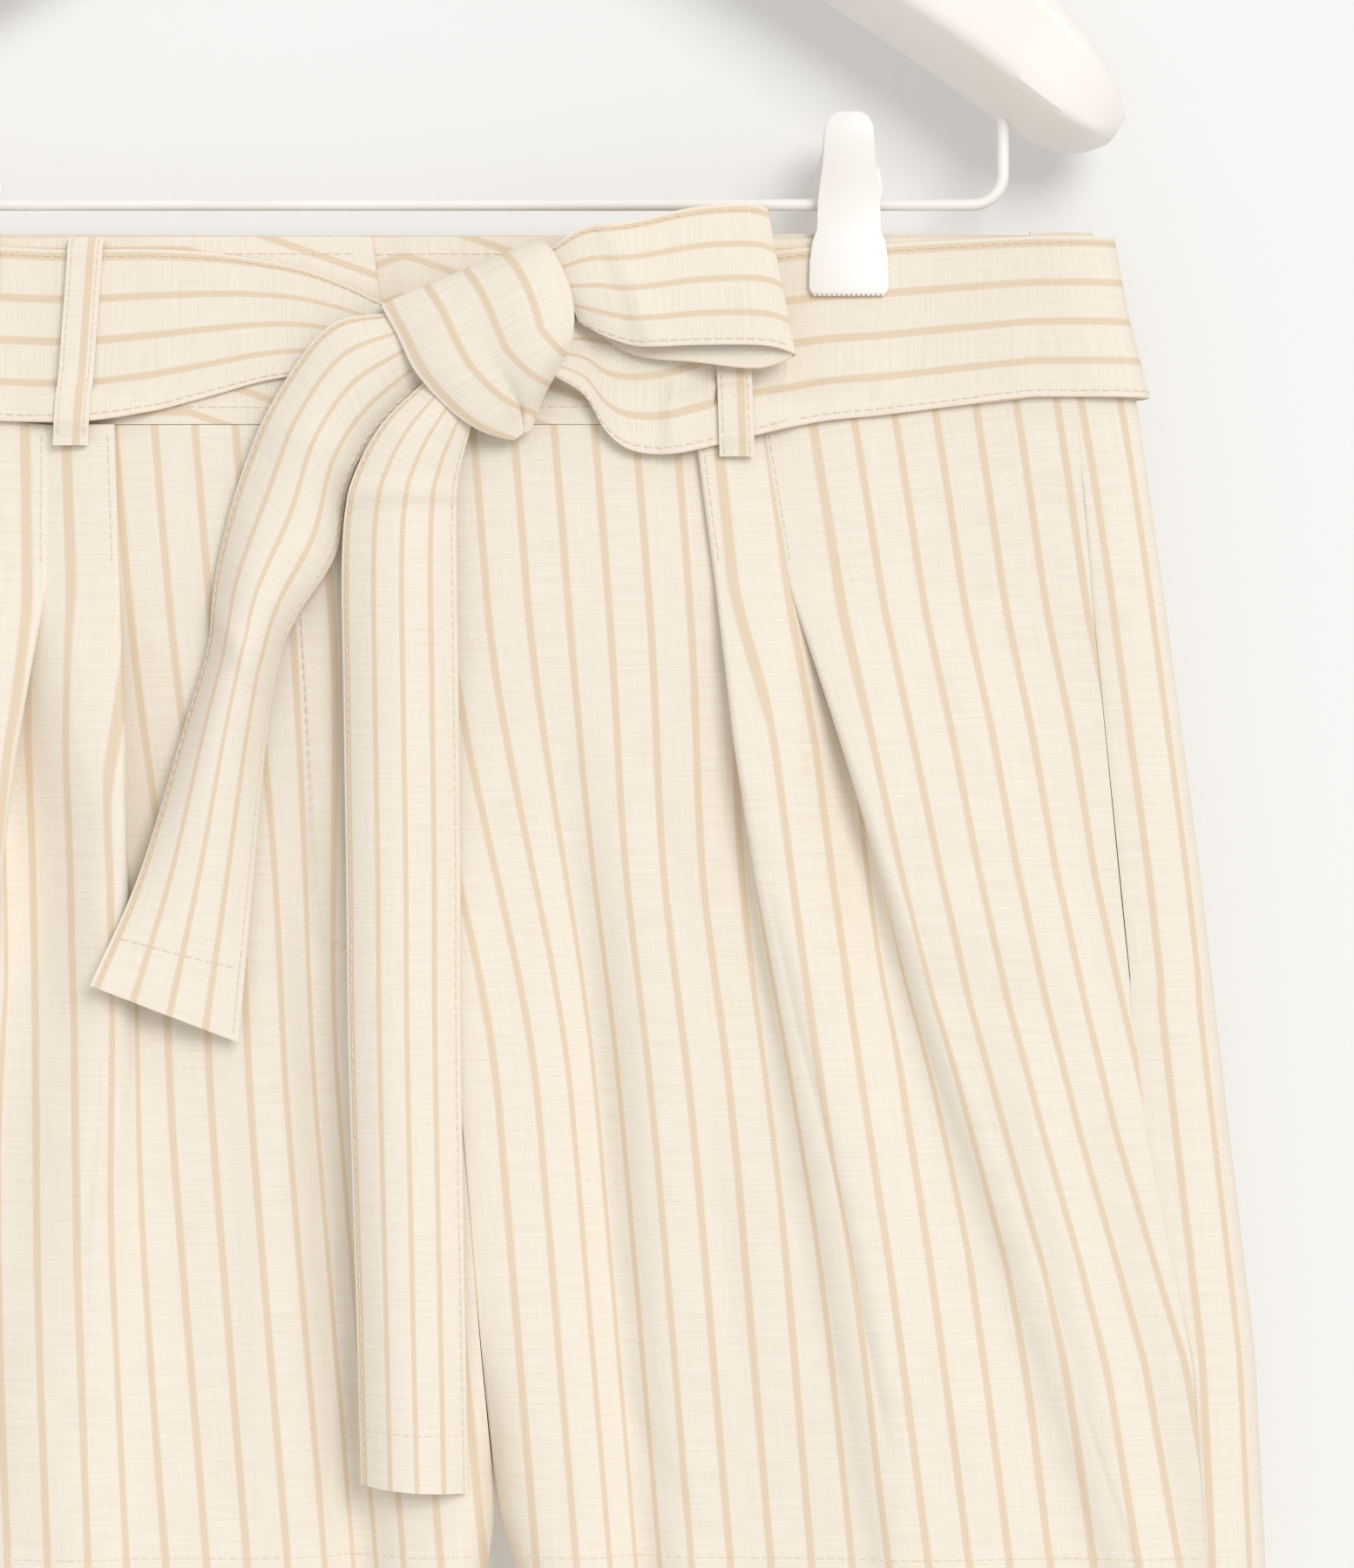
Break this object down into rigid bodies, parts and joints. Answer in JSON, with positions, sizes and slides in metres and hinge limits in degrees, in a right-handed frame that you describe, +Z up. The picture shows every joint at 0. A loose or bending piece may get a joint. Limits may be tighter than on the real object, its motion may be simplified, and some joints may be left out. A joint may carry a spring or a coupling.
{
  "type": "linen shorts on a clip hanger",
  "caption": "Pleated striped linen shorts with a tied sash through belt loops, held at the waist by a white clip hanger.",
  "frame": {"origin": "where the inside of the hook rests on its rail", "axes": "+Z up, the front of the shorts faces -Y, +X to the right as the front is seen"},
  "size_m": [0.4476, 0.0463, 0.6274],
  "materials": {
    "linen": "matte twill weave with beige stripes",
    "hanger_white": "satin white",
    "wire_white": "satin white enamel"
  },
  "bodies": {
    "root": {"front_left": "linen", "front_right": "linen", "back_left": "linen", "back_right": "linen", "waistband_front_left": "linen", "waistband_front_right": "linen", "waistband_back": "linen", "sash_left": "linen", "sash_right": "linen", "sash_back": "linen", "sash_knot": "linen", "sash_bow": "linen", "sash_tail_left": "linen", "sash_tail_right": "linen", "belt_loop_front_left": "linen", "belt_loop_front_right": "linen", "belt_loop_back_left": "linen", "belt_loop_back_centre": "linen", "belt_loop_back_right": "linen", "hanger_hook": "wire_white", "hanger_bar": "wire_white", "hanger_drop_left": "wire_white", "hanger_drop_right": "wire_white", "hanger_arms": "hanger_white", "clip_left_front": "hanger_white", "clip_left_rear": "hanger_white", "clip_left_spring": "hanger_white", "clip_right_front": "hanger_white", "clip_right_rear": "hanger_white", "clip_right_spring": "hanger_white"}
  },
  "joints": []
}
